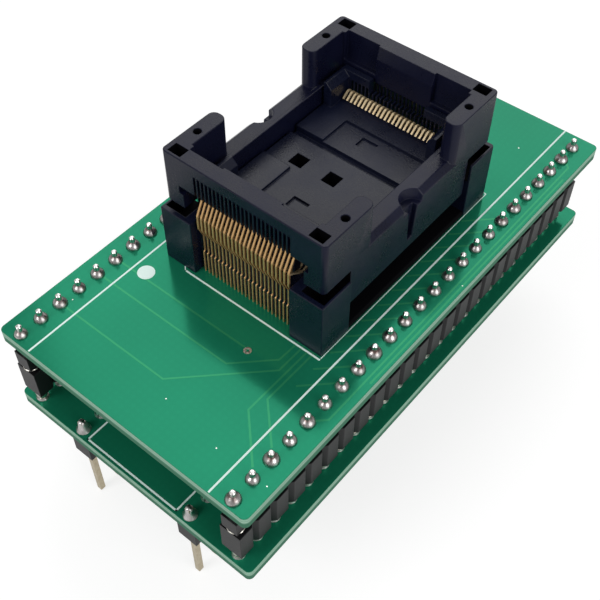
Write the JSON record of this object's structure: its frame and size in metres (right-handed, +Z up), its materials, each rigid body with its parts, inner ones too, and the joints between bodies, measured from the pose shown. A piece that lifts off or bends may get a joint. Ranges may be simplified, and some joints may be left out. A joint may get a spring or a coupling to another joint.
{
  "type": "programming socket adapter",
  "caption": "Stacked green boards that carry an open-top chip socket with a press-down cover and plug in through rows of square pins.",
  "frame": {"origin": "centre of the header's pin pattern, on the plane of the pin tips that the adapter stands on", "axes": "+Z up out of the socket, +Y along the pin rows away from pin 1's end, +X across the rows"},
  "size_m": [0.0324, 0.0616, 0.038],
  "materials": {
    "board": "green solder mask on a glass-fibre board",
    "strip_plastic": "black moulded plastic",
    "socket_plastic": "matt black moulded plastic",
    "cover_plastic": "matt charcoal moulded plastic",
    "tinned_pin": "bright tin plating",
    "gold_pin": "thin gold plating",
    "contact_gold": "gold-plated spring alloy"
  },
  "bodies": {
    "base_module": {"base_board": "board", "header_insulator_left": "strip_plastic", "header_insulator_right": "strip_plastic", "header_pins_left": "tinned_pin", "header_pins_right": "tinned_pin", "receptacle_strip_left": "strip_plastic", "receptacle_strip_right": "strip_plastic", "receptacle_sleeves_left": "gold_pin", "receptacle_sleeves_right": "gold_pin"},
    "socket_module": {"socket_board": "board", "plug_strip_left": "strip_plastic", "plug_strip_right": "strip_plastic", "plug_pins_left": "gold_pin", "plug_pins_right": "gold_pin", "socket_base": "socket_plastic", "chip_seat": "socket_plastic", "contact_legs_front": "contact_gold", "contact_legs_rear": "contact_gold"},
    "press_cover": {"cover": "cover_plastic"},
    "front_contacts": {"contact_arms_front": "contact_gold"},
    "rear_contacts": {"contact_arms_rear": "contact_gold"}
  },
  "joints": [
    {"name": "board_unplug", "type": "slide", "parent": "base_module", "child": "socket_module", "axis": [0, 0, 1], "range_m": [0, 0.004]},
    {"name": "cover_press", "type": "slide", "parent": "socket_module", "child": "press_cover", "axis": [0, 0, -1], "range_m": [0, 0.0023], "stiffness_N_per_m": 800, "springref_m": -0.001},
    {"name": "front_contacts_open", "type": "hinge", "parent": "socket_module", "child": "front_contacts", "pos_m": [0, -0.01135, 0.02884], "axis": [1, 0, 0], "range_deg": [0, 12.6]},
    {"name": "rear_contacts_open", "type": "hinge", "parent": "socket_module", "child": "rear_contacts", "pos_m": [0, 0.01515, 0.02884], "axis": [-1, 0, 0], "range_deg": [0, 12.6]}
  ],
  "couplings": [
    {"joint": "front_contacts_open", "follows": "cover_press", "rad_per_m": 91.061},
    {"joint": "rear_contacts_open", "follows": "cover_press", "rad_per_m": 91.061}
  ]
}
